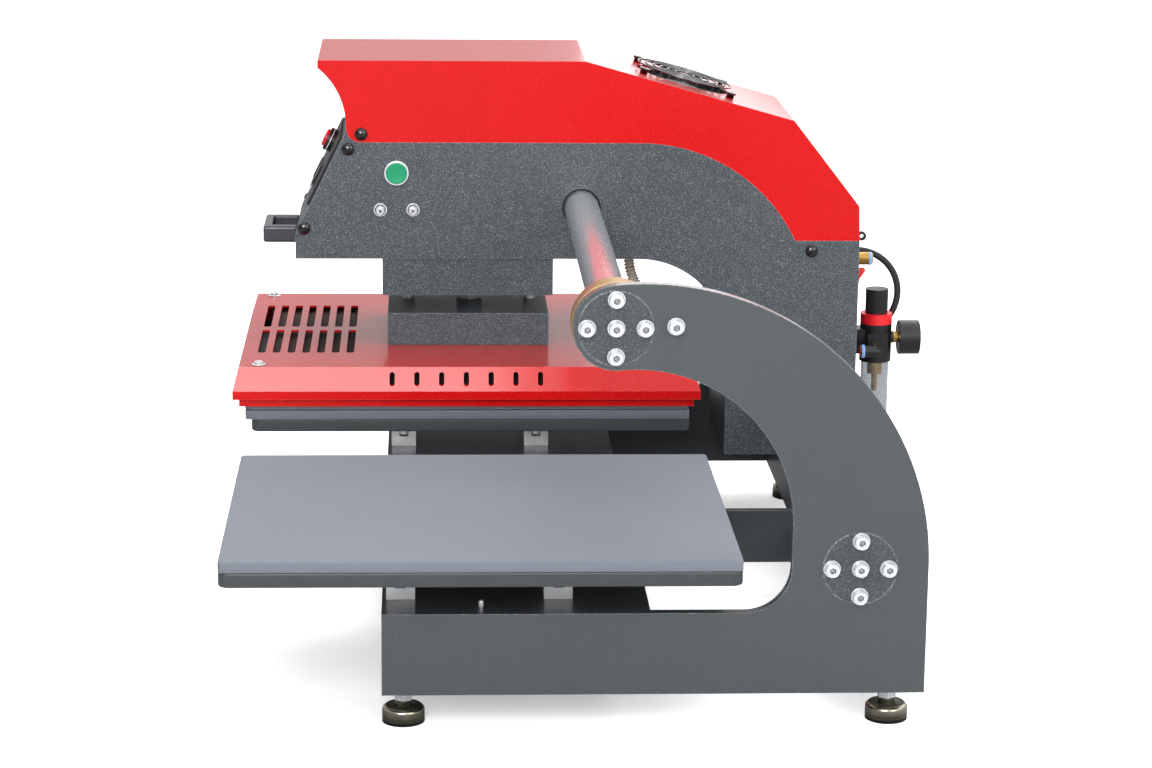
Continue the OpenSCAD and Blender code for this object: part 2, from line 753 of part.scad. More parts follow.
// Push-in elbow for an 8 mm air tube; it swivels on the stub
module inlet_elbow() color("#1b1c1e") in_head() difference() {
    union() {
        rod_x(reg_x + 25 + gap, reg_x + 40, inlet_c, 6.5);
        rod_y(inlet_c.x - 23, inlet_c.x, [reg_x + 34, inlet_c.y], 7);
    }
    rod_x(reg_x + 24, reg_x + 31, inlet_c, 4 + gap);
    rod_y(inlet_c.x - 24, inlet_c.x - 8, [reg_x + 34, inlet_c.y], 4);
}

module air_hose() color("#202124") in_head() translate([hose_x, hose_c.x, hose_c.y]) rotate([90, 0, 90])
    rotate([0, 0, hose_end]) rotate_extrude(angle = hose_start - hose_end) translate([hose_r, 0]) circle(r = 4);

module conduit_arc(c, start, turn) translate([0, c.x, c.y]) rotate([90, 0, 90]) rotate([0, 0, start])
    rotate_extrude(angle = turn) translate([conduit_bend_r, 0]) circle(r = conduit_r);

// Flexible metal conduit from the head down to the heat cover
module conduit() color("#6b5d4a") in_head() {
    rod_z(conduit_bend.y, 380, [0, conduit_bend.x], conduit_r);
    conduit_arc(conduit_bend + [conduit_bend_r, 0], 180, conduit_turn + 0.5);
    conduit_arc(conduit_bend + conduit_bend_r * [1 - 2 * cos(conduit_turn), -2 * sin(conduit_turn)],
                0, conduit_turn);
}

// ---- Press unit ----

module corners(c, dx, dy) for (x = [-1, 1], y = [-1, 1]) translate([x * dx, c + y * dy, 0]) children();

// Inverted channel on four posts that stand on the heat plate
module press_bracket() color("#565b5f") in_head() difference() {
    union() {
        along_y(bracket_y[0], bracket_y[1]) difference() {
            translate([-bracket_x, cover_z]) square([2 * bracket_x, bracket_top - cover_z]);
            translate([-bracket_x + bracket_t, cover_z - 1])
                square([2 * (bracket_x - bracket_t), bracket_top - bracket_t - cover_z + 1]);
        }
        corners(press_y, post_x, post_dy) rod_z(heat_top, bracket_top - 1, [0, 0], 8);
    }
    rod_z(bracket_top - 10, bracket_top + 1, [0, press_y], rod_r);
    for (s = [-1, 1]) rod_z(bracket_top - bracket_t - 1, bracket_top + 1, [0, press_y + s * guide_dy], guide_r);
}

module piston_rod() color("#c9ccd0") in_head() {
    rod_z(262, 373, [0, press_y], rod_r);
    rod_z(piston_top - 15, piston_top, [0, press_y], piston_r);
}

// Nut on the piston rod and the button-head screws of the heat cover
module press_fasteners() color("#d2d5d8") in_head() {
    difference() {
        hex_z(bracket_top, bracket_top + nut_h, [0, press_y], 30);
        rod_z(bracket_top - 1, bracket_top + nut_h + 1, [0, press_y], rod_r);
    }
    corners(heat_y, cover_screw.x, cover_screw.y) difference() {
        union() {
            rod_z(heat_top - 12, cover_z + 1, [0, 0], 2.5);
            rod_z(cover_z, cover_z + 1, [0, 0], 8);
            rod_z(cover_z + 1, cover_z + 4, [0, 0], 5);
        }
        hex_z(cover_z + 2, cover_z + 5, [0, 0], 3);
    }
}

module guide_rods() color("#c9ccd0") in_head() for (s = [-1, 1])
    rod_z(bracket_top - bracket_t, 425, [0, press_y + s * guide_dy], guide_r);

// Sloping-sided block, by its half sizes at the bottom and the top
module sloped_block(hx, hy, tx, ty, z0, z1) translate([0, heat_y, 0]) intersection() {
    along_x(-hx, hx) polygon([[-hy, z0], [hy, z0], [ty, z1], [-ty, z1]]);
    along_y(-hy, hy) polygon([[-hx, z0], [hx, z0], [tx, z1], [-tx, z1]]);
}

module heat_cover() color("#e01414") in_head() difference() {
    cx = cover_w / 2;
    cy = cover_d / 2;
    union() {
        block([-cx + flange_step, heat_y - cy + flange_step, flange_z[0]],
              [cx - flange_step, heat_y + cy - flange_step, flange_z[1] + 1]);
        block([-cx, heat_y - cy, flange_z[1]], [cx, heat_y + cy, flange_z[2]]);
        sloped_block(cx, cy, cx - cover_inset.x, cy - cover_inset.y, flange_z[2], cover_z);
    }
    block([-cx + 11, heat_y - cy + 11, flange_z[0] - 1], [cx - 11, heat_y + cy - 11, flange_z[2]]);
    sloped_block(cx - 11, cy - 11, cx - cover_inset.x - 4, cy - cover_inset.y - 4,
                 flange_z[2] - 0.1, cover_z - 2.5);
    corners(press_y, post_x, post_dy) rod_z(cover_z - 5, cover_z + 1, [0, 0], 8.3);
    corners(heat_y, cover_screw.x, cover_screw.y) rod_z(cover_z - 5, cover_z + 1, [0, 0], 2.7);
    rod_z(cover_z - 5, cover_z + 1, conduit_foot, conduit_r + 0.4);
    // cooling slots in the sloping sides, upright ovals
    for (i = [0 : side_slots - 1]) translate([-cx - 1, heat_y - 1 + (i - (side_slots - 1) / 2) * 28, 227.5])
        rotate([90, 0, 90]) linear_extrude(height = cover_w + 2) slot_2d(15, 3);
    // two rows of vent slots in the front of the top
    for (s = [-1, 1], i = [0 : top_slots - 1])
        translate([s * 70, heat_y - 185 + (i - (top_slots - 1) / 2) * 17, cover_z - 5])
            linear_extrude(height = 6) rotate(90) slot_2d(122, 4.5);
}

module heat_plate() color("#9a9ea1") in_head() difference() {
    translate([0, heat_y + 1, heat_z]) linear_extrude(height = heat_plate_t)
        rounded_rect(platen_w + 2 * heat_margin, platen_d + 2 * heat_margin, platen_corner_r);
    corners(heat_y, cover_screw.x, cover_screw.y) rod_z(heat_top - 12, heat_top + 1, [0, 0], 2.5 + gap);
}

module insulation() color("#332e2b") in_head() difference() {
    block([-180, heat_y - 225, heat_top], [180, heat_y + 225, heat_top + 24]);
    corners(press_y, post_x, post_dy) rod_z(heat_top - 1, heat_top + 25, [0, 0], 9);
}

frame_plate_right();
frame_plate_left();
front_cross_beam();
rear_cross_beam();
upper_guide_shaft();
lower_guide_shaft();
shaft_flanges();
shaft_end_discs();
shaft_screws();
end_buffers();
platen_rails();
foot_pads();
foot_nuts();
foot_front_right();
foot_front_left();
foot_rear_right();
foot_rear_left();
platen_right();
pad_right();
platen_left();
pad_left();
head_side_right();
head_side_left();
head_belly();
front_panel();
controller();
head_cover();
rear_panel();
linear_bearings();
cover_screws();
side_bolts();
button_bezels();
start_button_right();
start_button_left();
stop_button_collar();
stop_button();
key_up();
key_down();
bow_handle();
fan_frame();
fan_rotor();
fan_guard();
rocker_switch();
air_cylinder();
regulator_body();
regulator_knob();
regulator_bowl();
gauge_body();
gauge_needle();
air_fittings();
inlet_elbow();
air_hose();
conduit();
press_bracket();
piston_rod();
press_fasteners();
guide_rods();
heat_cover();
heat_plate();
insulation();
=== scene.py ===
"""Looks of a pneumatic double-station heat press round its CAD frame. Metres, +Z up, operator on -Y."""
import json
import math
import random

import bmesh
import bpy
from mathutils import Matrix, Vector


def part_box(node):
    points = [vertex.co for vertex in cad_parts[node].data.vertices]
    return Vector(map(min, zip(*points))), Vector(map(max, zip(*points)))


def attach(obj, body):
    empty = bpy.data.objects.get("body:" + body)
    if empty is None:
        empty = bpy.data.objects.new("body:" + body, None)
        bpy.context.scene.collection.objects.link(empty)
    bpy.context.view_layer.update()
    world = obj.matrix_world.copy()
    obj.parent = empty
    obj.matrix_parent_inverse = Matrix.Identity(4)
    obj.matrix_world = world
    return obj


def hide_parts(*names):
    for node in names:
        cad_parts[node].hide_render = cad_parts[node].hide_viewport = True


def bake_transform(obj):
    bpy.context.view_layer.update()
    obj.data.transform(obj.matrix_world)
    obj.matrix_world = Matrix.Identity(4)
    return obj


MM = 0.001
X_AXIS, Y_AXIS, Z_AXIS = Vector((1, 0, 0)), Vector((0, 1, 0)), Vector((0, 0, 1))

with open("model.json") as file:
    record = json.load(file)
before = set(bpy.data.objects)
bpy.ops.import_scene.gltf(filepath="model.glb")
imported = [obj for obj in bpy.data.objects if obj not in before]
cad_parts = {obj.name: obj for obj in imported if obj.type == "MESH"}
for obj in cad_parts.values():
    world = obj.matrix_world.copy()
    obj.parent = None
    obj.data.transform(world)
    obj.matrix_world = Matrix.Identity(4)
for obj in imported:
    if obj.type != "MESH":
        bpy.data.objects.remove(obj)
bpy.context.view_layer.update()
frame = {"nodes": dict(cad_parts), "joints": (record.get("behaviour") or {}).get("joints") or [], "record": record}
nodes = frame["nodes"]
joints = {joint["name"]: joint for joint in frame["joints"]}


# ---- Procedural materials ----

def colour(red, green, blue):
    """An sRGB colour, 0 to 255 a channel, as linear RGBA."""
    def channel(value):
        value /= 255
        return value / 12.92 if value <= 0.04045 else ((value + 0.055) / 1.055) ** 2.4
    return (channel(red), channel(green), channel(blue), 1.0)


def shade(rgba, factor):
    """The same colour, lighter or darker."""
    return tuple(min(1.0, c * factor) for c in rgba[:3]) + (1.0,)


class NodeGraph:
    """A node tree that is wired in plain calls."""

    def __init__(self, tree):
        self.tree = tree

    def put(self, socket, value):
        if isinstance(value, bpy.types.NodeSocket):
            self.tree.links.new(value, socket)
        else:
            socket.default_value = value

    def add(self, kind, settings=None, **inputs):
        node = self.tree.nodes.new("ShaderNode" + kind)
        for key, value in (settings or {}).items():
            setattr(node, key, value)
        for key, value in inputs.items():
            self.put(node.inputs[key.replace("_", " ")], value)
        return node

    def math(self, operation, a, b=0.0, c=0.0):
        node = self.add("Math", {"operation": operation})
        for socket, value in zip(node.inputs, (a, b, c)):
            self.put(socket, value)
        return node.outputs[0]

    def ramp(self, value, *stops):
        """A ramp through (position, grey or RGBA) stops."""
        node = self.add("ValToRGB", Fac=value)
        elements = node.color_ramp.elements
        while len(elements) < len(stops):
            elements.new(0.5)
        for element, (position, tone) in zip(elements, stops):
            element.position = position
            element.color = tone if isinstance(tone, tuple) else (tone, tone, tone, 1.0)
        return node.outputs["Color"]

    def mix(self, share, a, b):
        node = self.add("Mix", {"data_type": "RGBA"})
        self.put(node.inputs[0], share)
        self.put(node.inputs[6], a)
        self.put(node.inputs[7], b)
        return node.outputs[2]


class Shader(NodeGraph):
    """A node material. Its texture space is the machine at rest, in metres."""

    def __init__(self, name):
        self.material = bpy.data.materials.new(name)
        self.material.use_nodes = True
        super().__init__(self.material.node_tree)
        self.surface = self.tree.nodes["Principled BSDF"]
        self.place = self.add("TexCoord").outputs["Object"]

    def stretched(self, factors):
        node = self.add("VectorMath", {"operation": "MULTIPLY"})
        self.put(node.inputs[0], self.place)
        node.inputs[1].default_value = factors
        return node.outputs[0]

    def noise(self, size, detail=2.0, rough=0.5, stretch=None):
        """Noise whose blobs are about size metres across."""
        place = self.stretched(stretch) if stretch else self.place
        node = self.add("TexNoise", Vector=place, Scale=1 / size, Detail=detail, Roughness=rough)
        return node.outputs["Fac"]

    def cells(self, size, output="Color"):
        return self.add("TexVoronoi", Vector=self.place, Scale=1 / size).outputs[output]

    def edges(self, radius=1.5 * MM):
        """1 along outer edges and 0 on flat faces."""
        rounded = self.add("Bevel", {"samples": 4}, Radius=radius).outputs[0]
        facing = self.add("NewGeometry").outputs["Normal"]
        node = self.add("VectorMath", {"operation": "DOT_PRODUCT"})
        self.put(node.inputs[0], rounded)
        self.put(node.inputs[1], facing)
        return self.ramp(self.math("SUBTRACT", 1.0, node.outputs["Value"]), (0.015, 0.0), (0.12, 1.0))

    def height(self, axis):
        return self.add("SeparateXYZ", Vector=self.place).outputs[axis]

    def bump(self, value, strength, depth):
        return self.add("Bump", Strength=strength, Distance=depth, Height=value).outputs[0]

    def finish(self, base, rough, metal=0.0, normal=None, **extra):
        self.put(self.surface.inputs["Base Color"], base)
        self.put(self.surface.inputs["Roughness"], rough)
        self.put(self.surface.inputs["Metallic"], metal)
        if normal is not None:
            self.put(self.surface.inputs["Normal"], normal)
        for key, value in extra.items():
            self.put(self.surface.inputs[key.replace("_", " ")], value)
        return self.material


def powder_coat(name, base, fleck, worn, grain, share, relief, rough, coat=0.0, chipped=0.4,
                bounce=1.0, shine=0.5):
    """Baked paint: a pimpled skin with flecks over a share of it, a cloudy tone and worn edges.

    A coat makes the faces that look up glossy, and paints them darker as painted shade. A low bounce tints its
    surroundings less.
    """
    s = Shader(name)
    lively = s.add("SeparateColor", Color=s.cells(grain)).outputs[0]
    flecks = s.ramp(lively, (1 - share, 0.0), (1.0, 1.0))
    cloudy = s.mix(s.noise(120 * MM, 3), shade(base, 0.9), shade(base, 1.1))
    grainy = s.mix(s.noise(1.6 * grain, 2), shade(base, 0.72), cloudy)
    speckled = s.mix(s.math("MULTIPLY", flecks, 0.8), grainy, fleck)
    chips = s.ramp(s.noise(2.2 * MM, 4, 0.7), (0.62 - 0.3 * chipped, 0.0), (0.76 - 0.3 * chipped, 1.0))
    wear = s.math("MULTIPLY", s.edges(), s.math("MULTIPLY_ADD", chips, 0.85, 0.1))
    painted = s.mix(wear, speckled, worn)
    gloss = coat
    if coat:
        facing_up = s.add("SeparateXYZ", Vector=s.add("NewGeometry").outputs["Normal"]).outputs["Z"]
        gloss = s.math("MULTIPLY", s.ramp(facing_up, (0.1, 0.15), (0.6, 1.0)), coat)
        # Painted shade: faces that look up are darkened towards half the base tone.
        painted = s.mix(s.ramp(facing_up, (0.3, 0.0), (0.95, 0.6)), painted, shade(base, 0.5))
    if bounce < 1:
        lit = s.add("LightPath").outputs["Is Diffuse Ray"]
        painted = s.mix(s.math("MULTIPLY", lit, 1 - bounce), painted, colour(70, 66, 66))
    pimples = s.math("MULTIPLY", s.cells(1.7 * grain, "Distance"), 0.6)
    skin = s.math("ADD", s.noise(1.3 * grain, 3, 0.6), pimples)
    roughness = s.math("MULTIPLY_ADD", s.noise(30 * MM, 3), 0.12, rough - 0.06)
    normal = s.bump(skin, relief, 0.35 * MM)
    return s.finish(painted, roughness, 0.0, normal, Coat_Weight=gloss, Coat_Roughness=0.12,
                    Specular_IOR_Level=shine)


def bare_metal(name, base, rough, streak=(1.0, 1.0, 1.0), relief=0.08, tarnish=0.85, metal=1.0, crevice_shade=0.0):
    """Turned, ground or plated metal: fine streaks, smudges, and painted shade in crevices narrower than the given
    shade distance.
    """
    s = Shader(name)
    streaks = s.noise(0.9 * MM, 3, 0.6, streak)
    smudge = s.noise(14 * MM, 3)
    toned = s.mix(s.ramp(smudge, (0.3, 0.0), (0.75, 1.0)), base, shade(base, tarnish))
    bright = s.mix(s.math("MULTIPLY", s.edges(0.6 * MM), 0.6), toned, shade(base, 1.25))
    if crevice_shade:
        # Painted shade: crevices narrower than the shade distance are darkened towards a tenth of the base tone.
        open_air = s.add("AmbientOcclusion", {"samples": 6}, Distance=crevice_shade).outputs["AO"]
        bright = s.mix(s.ramp(open_air, (0.35, 0.0), (0.8, 1.0)), shade(base, 0.1), bright)
    streaky = s.math("MULTIPLY_ADD", streaks, 0.16, rough - 0.08)
    roughness = s.math("ADD", streaky, s.math("MULTIPLY", smudge, 0.06))
    return s.finish(bright, roughness, metal, s.bump(streaks, relief, 0.1 * MM))


def moulded(name, base, rough, grain=0.7 * MM, relief=0.12, coat=0.0):
    """Moulded plastic or rubber: a fine leathery skin, lighter rubbed edges and a little dust."""
    s = Shader(name)
    skin = s.noise(grain, 3, 0.6)
    dust = s.ramp(s.noise(9 * MM, 4, 0.65), (0.5, 0.0), (0.85, 0.3))
    rubbed = s.math("MULTIPLY", s.edges(1.0 * MM), 0.3)
    toned = s.mix(dust, base, shade(base, 1.35))
    edged = s.mix(rubbed, toned, shade(base, 2.0))
    roughness = s.math("MULTIPLY_ADD", s.noise(12 * MM, 3), 0.14, rough - 0.07)
    return s.finish(edged, roughness, 0.0, s.bump(skin, relief, 0.15 * MM),
                    Coat_Weight=coat, Coat_Roughness=0.08)


def silicone(name):
    """Silicone foam of the pads: fine cross streaks, closed pores and slightly shiny side faces."""
    s = Shader(name)
    base = colour(98, 104, 113)
    streaks = s.noise(1.6 * MM, 4, 0.6, (1.0, 0.12, 1.0))
    pores = s.cells(1.1 * MM, "Distance")
    cloudy = s.mix(s.noise(160 * MM, 3), shade(base, 0.93), shade(base, 1.08))
    streaky = s.mix(s.ramp(streaks, (0.35, 0.0), (0.7, 0.5)), cloudy, shade(base, 0.84))
    lint = s.ramp(s.noise(2.4 * MM, 5, 0.7), (0.7, 0.0), (0.8, 0.18))
    surface = s.mix(lint, streaky, shade(base, 1.7))
    edged = s.mix(s.math("MULTIPLY", s.edges(2 * MM), 0.35), surface, shade(base, 1.4))
    skin = s.math("ADD", s.math("MULTIPLY", pores, 0.6), streaks)
    return s.finish(edged, s.math("MULTIPLY_ADD", streaks, 0.12, 0.62), 0.0, s.bump(skin, 0.3, 0.2 * MM),
                    Sheen_Weight=0.12, Sheen_Roughness=0.5)


def zinc_yellow(name):
    """Yellow-passivated steel, with the pink and green bands of the passivation."""
    s = Shader(name)
    bands = s.ramp(s.noise(26 * MM, 3, 0.6), (0.25, colour(150, 140, 108)), (0.45, colour(186, 158, 104)),
                   (0.58, colour(176, 132, 116)), (0.75, colour(160, 158, 124)))
    turning = s.noise(0.8 * MM, 3, 0.6, (3.0, 0.6, 0.6))
    worn = s.mix(s.math("MULTIPLY", s.edges(), 0.5), bands, colour(205, 190, 160))
    return s.finish(worn, s.math("MULTIPLY_ADD", turning, 0.2, 0.3), 0.85, s.bump(turning, 0.12, 0.1 * MM))


def rubber_soled(name, top):
    """Nickel-plated steel with a black rubber sole up to a height."""
    s = Shader(name)
    sole = s.math("LESS_THAN", s.height("Z"), top)
    turning = s.noise(0.7 * MM, 3, 0.6, (0.3, 0.3, 3.0))
    plated = s.mix(s.noise(12 * MM, 3), colour(150, 146, 126), colour(214, 210, 188))
    worn = s.mix(s.math("MULTIPLY", s.edges(), 0.5), plated, colour(240, 238, 226))
    tone = s.mix(sole, worn, colour(34, 34, 35))
    roughness = s.math("MULTIPLY_ADD", sole, 0.4, 0.24)
    metal = s.math("MULTIPLY_ADD", sole, -1.0, 1.0)
    return s.finish(tone, roughness, metal, s.bump(turning, 0.12, 0.1 * MM))


def clear(name, tint, rough=0.03):
    """Clear moulded polycarbonate or glass with faint ripples."""
    s = Shader(name)
    ripple = s.noise(18 * MM, 2)
    haze = s.math("MULTIPLY_ADD", s.noise(5 * MM, 3), 0.05, rough)
    return s.finish(tint, haze, 0.0, s.bump(ripple, 0.06, 0.4 * MM), Transmission_Weight=0.95, IOR=1.18)


def mineral_wool(name):
    """Brown insulation board with long fibres."""
    s = Shader(name)
    fibres = s.noise(1.5 * MM, 5, 0.7, (0.3, 1.0, 1.0))
    tone = s.mix(fibres, colour(44, 34, 32), colour(74, 60, 56))
    return s.finish(tone, 0.9, 0.0, s.bump(fibres, 0.8, 1.0 * MM))


def banded(name, bottom, top, body, band):
    """Body plastic with one band of another colour between two heights."""
    s = Shader(name)
    above = s.math("GREATER_THAN", s.height("Z"), bottom)
    below = s.math("LESS_THAN", s.height("Z"), top)
    inside = s.math("MULTIPLY", above, below)
    skin = s.noise(0.8 * MM, 3)
    shaded = s.mix(inside, body, band)
    worn = s.mix(s.math("MULTIPLY", s.edges(1.0 * MM), 0.3), shaded, shade(body, 2.5))
    roughness = s.math("MULTIPLY_ADD", s.noise(9 * MM, 2), 0.15, 0.26)
    return s.finish(worn, roughness, 0.0, s.bump(skin, 0.1, 0.1 * MM))


# One finish for each material slot of the record
finishes = {
    # Frame paint and red paint have a coat, so their upward faces are also painted darker: painted shade.
    "frame_paint": powder_coat("frame_powder_coat", colour(68, 73, 76), fleck=colour(82, 87, 91),
                               worn=colour(176, 181, 186), grain=0.7 * MM, share=0.06, relief=0.10,
                               rough=0.42, coat=0.9),
    "speckle_paint": powder_coat("speckled_powder_coat", colour(66, 72, 77), fleck=colour(156, 164, 172),
                                 worn=colour(176, 182, 188), grain=0.6 * MM, share=0.16, relief=0.34,
                                 rough=0.34),
    "platen_paint": powder_coat("platen_powder_coat", colour(58, 62, 64), fleck=colour(78, 83, 87),
                                worn=colour(226, 230, 234), grain=0.7 * MM, share=0.10, relief=0.12,
                                rough=0.42, chipped=0.75),
    "red_paint": powder_coat("red_powder_coat", colour(204, 0, 2), fleck=colour(244, 34, 30),
                             worn=colour(255, 110, 100), grain=0.75 * MM, share=0.12, relief=0.20,
                             rough=0.38, coat=0.8, bounce=0.35, shine=0.2),
    "silicone_pad": silicone("silicone_foam"),
    "chrome_shaft": bare_metal("hard_chrome", colour(226, 229, 233), 0.15, (0.2, 3.0, 3.0), relief=0.03,
                               tarnish=0.9, metal=0.8),
    "yellow_zinc": zinc_yellow("yellow_zinc"),
    "zinc_screw": bare_metal("bright_zinc", colour(228, 231, 234), 0.24, relief=0.1, tarnish=0.8,
                             metal=0.45, crevice_shade=4 * MM),
    "bright_ring": bare_metal("bright_nickel", colour(242, 243, 245), 0.24, tarnish=0.9, metal=0.3),
    "nickel_foot": rubber_soled("turned_nickel", 3.2 * MM),
    "aluminium": bare_metal("extruded_aluminium", colour(236, 237, 239), 0.38, (0.1, 3.0, 3.0),
                            relief=0.12, tarnish=0.92, metal=0.4),
    "heat_plate_aluminium": bare_metal("cast_aluminium", colour(126, 130, 134), 0.48, (0.3, 0.3, 3.0),
                                       relief=0.25, tarnish=0.8, metal=0.7),
    "cylinder_aluminium": bare_metal("anodised_aluminium", colour(182, 186, 190), 0.36, (1.0, 1.0, 0.2)),
    "bearing_steel": bare_metal("conduit_steel", colour(236, 229, 216), 0.3, relief=0.1, tarnish=0.8,
                                metal=0.2),
    "brass": bare_metal("turned_brass", colour(200, 160, 86), 0.24, (1.0, 3.0, 1.0), relief=0.1,
                        tarnish=0.75),
    "black_plastic": moulded("black_nylon", colour(24, 25, 27), 0.40),
    "black_rubber": moulded("black_rubber", colour(30, 31, 33), 0.62, grain=0.9 * MM, relief=0.2),
    "black_screw": moulded("black_lacquer", colour(14, 14, 15), 0.20, grain=1.5 * MM, relief=0.04,
                           coat=0.6),
    "green_button": moulded("green_plastic", colour(0, 140, 96), 0.30, grain=0.8 * MM, relief=0.06,
                            coat=0.3),
    "red_button": moulded("red_plastic", colour(206, 16, 24), 0.28, grain=0.8 * MM, relief=0.06, coat=0.3),
    "grey_key": moulded("grey_plastic", colour(136, 140, 144), 0.42, grain=0.8 * MM, relief=0.08),
    "clear_bowl": clear("polycarbonate", colour(236, 240, 243)),
    "insulation_board": mineral_wool("mineral_wool"),
}

# Finishes of single pieces
satin_steel = bare_metal("satin_steel", colour(238, 240, 242), 0.3, (1.0, 1.0, 0.3), metal=0.25)
disc_paint = powder_coat("disc_powder_coat", colour(64, 69, 73), fleck=colour(112, 118, 123),
                         worn=colour(196, 200, 204), grain=0.7 * MM, share=0.14, relief=0.28, rough=0.36,
                         chipped=0.6)
black_chrome = bare_metal("black_chrome", colour(116, 114, 118), 0.16, relief=0.05, tarnish=0.5)
handle_plastic = moulded("handle_plastic", colour(58, 61, 65), 0.30, grain=0.8 * MM, relief=0.1, coat=0.2)
regulator_nylon = banded("regulator_nylon", 250 * MM, 262.2 * MM, colour(22, 23, 25), colour(214, 20, 30))
blue_collet = moulded("blue_collet", colour(120, 160, 214), 0.34)
dial_white = moulded("dial_white", colour(232, 232, 226), 0.5)
dial_black = moulded("dial_black", colour(18, 18, 20), 0.5)
lens_glass = clear("lens_glass", colour(246, 248, 248), 0.01)
display_dark = moulded("display_window", colour(26, 12, 12), 0.08, grain=3 * MM, relief=0.01, coat=1.0)


# ---- Building pieces ----

def add_object(name, mesh, smooth=True):
    """Turns a bmesh into a linked object with outward faces."""
    bmesh.ops.recalc_face_normals(mesh, faces=mesh.faces)
    data = bpy.data.meshes.new(name)
    mesh.to_mesh(data)
    mesh.free()
    data.polygons.foreach_set("use_smooth", [smooth] * len(data.polygons))
    obj = bpy.data.objects.new(name, data)
    bpy.context.scene.collection.objects.link(obj)
    return obj


def place(obj, body, slot, *replaced, material=None):
    """Gives a piece its material, the slot's finish unless one is given, and lets it ride on a body in place of
    CAD nodes.
    """
    obj.data.materials.clear()
    obj.data.materials.append(material or finishes[slot])
    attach(obj, body)
    if replaced:
        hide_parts(*replaced)
    return obj


def crease(obj, angle=35):
    """Smooth shading that keeps edges sharper than angle."""
    data = obj.data
    if not data.polygons:
        return
    mesh = bmesh.new()
    mesh.from_mesh(data)
    limit = math.radians(angle)
    for edge in mesh.edges:
        edge.smooth = len(edge.link_faces) == 2 and edge.calc_face_angle(0) < limit
    mesh.to_mesh(data)
    mesh.free()


def lathe(name, profile, origin, axis, segments=72, closed=False, angle=35):
    """A turned piece: profile is (radius, height) pairs along axis from origin."""
    mesh = bmesh.new()
    rings = []
    for radius, height in profile:
        if radius < 1e-6:
            rings.append([mesh.verts.new((0, 0, height))])
            continue
        turns = [2 * math.pi * i / segments for i in range(segments)]
        rings.append([mesh.verts.new((radius * math.cos(a), radius * math.sin(a), height)) for a in turns])
    pairs = list(zip(rings, rings[1:]))
    if closed:
        pairs.append((rings[-1], rings[0]))
    for low, high in pairs:
        for i in range(segments):
            j = i + 1
            corners = [low[i % len(low)], low[j % len(low)], high[j % len(high)], high[i % len(high)]]
            corners = list(dict.fromkeys(corners))
            if len(corners) > 2:
                mesh.faces.new(corners)
    turn = Z_AXIS.rotation_difference(Vector(axis)).to_matrix().to_4x4()
    mesh.transform(Matrix.Translation(Vector(origin)) @ turn)
    obj = add_object(name, mesh)
    crease(obj, angle)
    return obj


def rounded(radius, height, corner, steps=5):
    """Profile points of a convex corner that ends at (radius, height), from the side to the top."""
    points = []
    for i in range(steps + 1):
        a = math.pi / 2 * i / steps
        points.append((radius - corner + corner * math.cos(a), height - corner + corner * math.sin(a)))
    return points


def tube(name, path, radius_at, sides=20):
    """A round bar swept along path, with its radius from radius_at(distance)."""
    mesh = bmesh.new()
    path = [Vector(p) for p in path]
    side = X_AXIS
    travelled = 0.0
    rings = []
    for i, point in enumerate(path):
        ahead = (path[min(i + 1, len(path) - 1)] - path[max(i - 1, 0)]).normalized()
        side = (side - ahead * side.dot(ahead)).normalized()
        up = ahead.cross(side)
        if i:
            travelled += (point - path[i - 1]).length
        radius = radius_at(travelled)
        ring = []
        for k in range(sides):
            a = 2 * math.pi * k / sides
            ring.append(mesh.verts.new(point + radius * (side * math.cos(a) + up * math.sin(a))))
        rings.append(ring)
    for low, high in zip(rings, rings[1:]):
        for k in range(sides):
            mesh.faces.new((low[k], low[(k + 1) % sides], high[(k + 1) % sides], high[k]))
    mesh.faces.new(rings[0])
    mesh.faces.new(rings[-1])
    return add_object(name, mesh)


def round_outline(half_x, half_y, corner, steps=10):
    """Points round a rectangle with round corners."""
    points = []
    for quarter, (sx, sy) in enumerate(((1, 1), (-1, 1), (-1, -1), (1, -1))):
        for i in range(steps + 1):
            a = math.pi / 2 * (quarter + i / steps)
            x = sx * (half_x - corner) + corner * math.cos(a)
            y = sy * (half_y - corner) + corner * math.sin(a)
            points.append((x, y))
    return points


def soft_slab(name, low, high, corner, edge, crown, wobble, seed):
    """A padded slab inside a box: rolled edges, a slightly crowned top and faintly uneven sides."""
    rng = random.Random(seed)
    middle = (low + high) / 2
    half = (high - low) / 2
    levels = [(40 * MM, 0.0), (edge * 0.3, 0.0), (0.0, edge * 0.3), (0.0, half.z)]
    for i in range(6):
        a = math.pi / 2 * i / 5
        levels.append((edge * (1 - math.cos(a)), 2 * half.z - crown - edge * (1 - math.sin(a))))
    levels += [(inset, 2 * half.z - crown * (1 - share)) for inset, share in
               ((8 * MM, 0.35), (25 * MM, 0.7), (60 * MM, 0.9), (110 * MM, 1.0), (160 * MM, 1.0))]
    mesh = bmesh.new()
    rings = []
    phases = [rng.uniform(0, 2 * math.pi) for _ in range(3)]
    for inset, height in levels:
        radius = max(corner - inset, 2 * MM)
        ring = []
        for x, y in round_outline(half.x - inset, half.y - inset, radius):
            wave = sum(math.sin((x + y) * (30 + 17 * k) + phases[k]) for k in range(3)) / 3
            pull = 1 - wobble * (1 + wave) / 2 / half.x
            ring.append(mesh.verts.new((middle.x + x * pull, middle.y + y * pull, low.z + height)))
        rings.append(ring)
    count = len(rings[0])
    for lower, upper in zip(rings, rings[1:]):
        for k in range(count):
            mesh.faces.new((lower[k], lower[(k + 1) % count], upper[(k + 1) % count], upper[k]))
    mesh.faces.new(rings[0])
    mesh.faces.new(rings[-1])
    obj = add_object(name, mesh)
    crease(obj, 50)
    return obj


